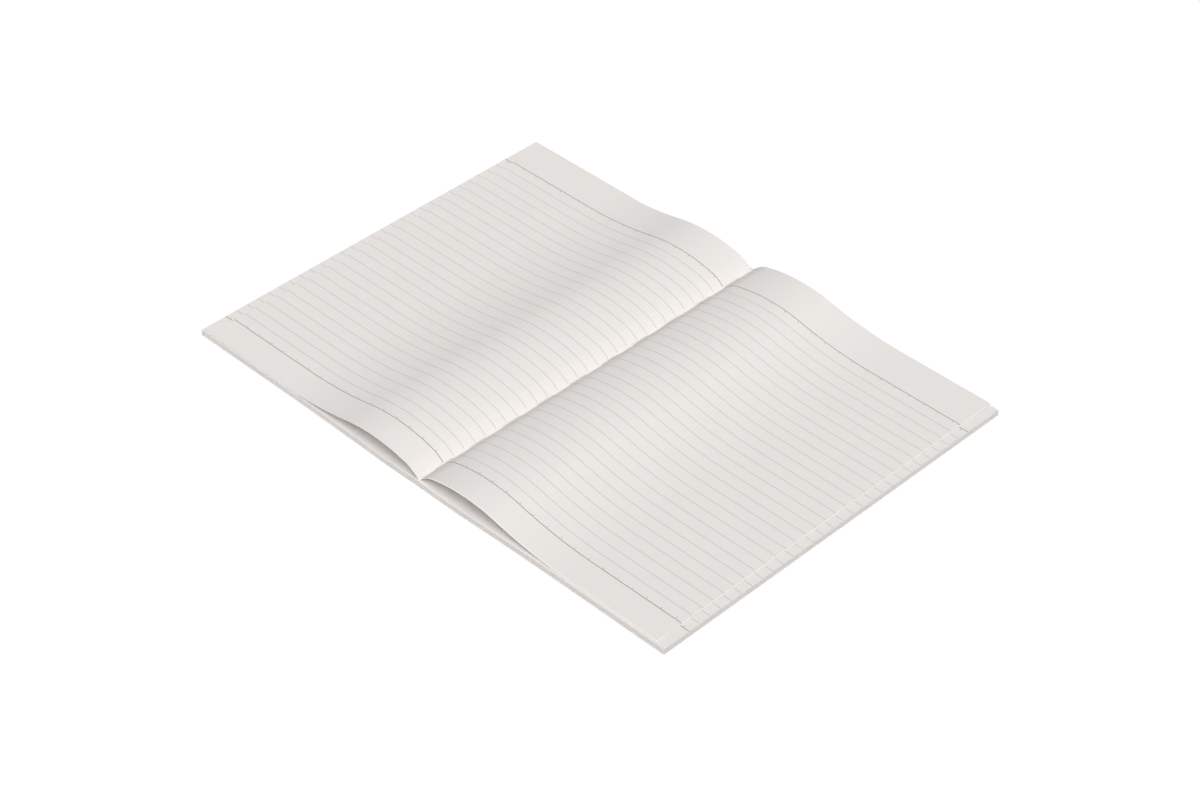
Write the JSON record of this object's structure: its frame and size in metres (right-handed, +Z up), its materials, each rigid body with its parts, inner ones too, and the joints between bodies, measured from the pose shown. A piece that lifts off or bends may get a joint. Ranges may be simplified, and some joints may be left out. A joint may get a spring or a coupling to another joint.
{
  "type": "open composition notebook",
  "caption": "Soft-cover ruled notebook sewn through the fold, lying open at its middle sheet, whose two leaves bow up from the page blocks; the front half closes on a hinge at the fold.",
  "frame": {"origin": "on the table, under the middle of the spine", "axes": "+X across the open pages towards the back cover, +Y along the spine towards the head of the page, +Z up"},
  "size_m": [0.348, 0.252, 0.0137],
  "materials": {
    "card": "matt uncoated card",
    "paper": "matt uncoated writing paper, warm off-white, with pale grey ruled lines",
    "thread": "spun sewing thread, off-white"
  },
  "bodies": {
    "back_half": {"back_cover": "card", "spine": "card", "right_pages": "paper", "right_leaf": "paper", "binding_thread": "thread"},
    "front_half": {"front_cover": "card", "left_pages": "paper", "left_leaf": "paper"}
  },
  "joints": [
    {"name": "fold", "type": "hinge", "parent": "back_half", "child": "front_half", "pos_m": [0, 0, 0.0054], "axis": [0, 1, 0], "range_deg": [0, 180], "deforming": ["left_leaf", "right_leaf", "spine"]}
  ]
}
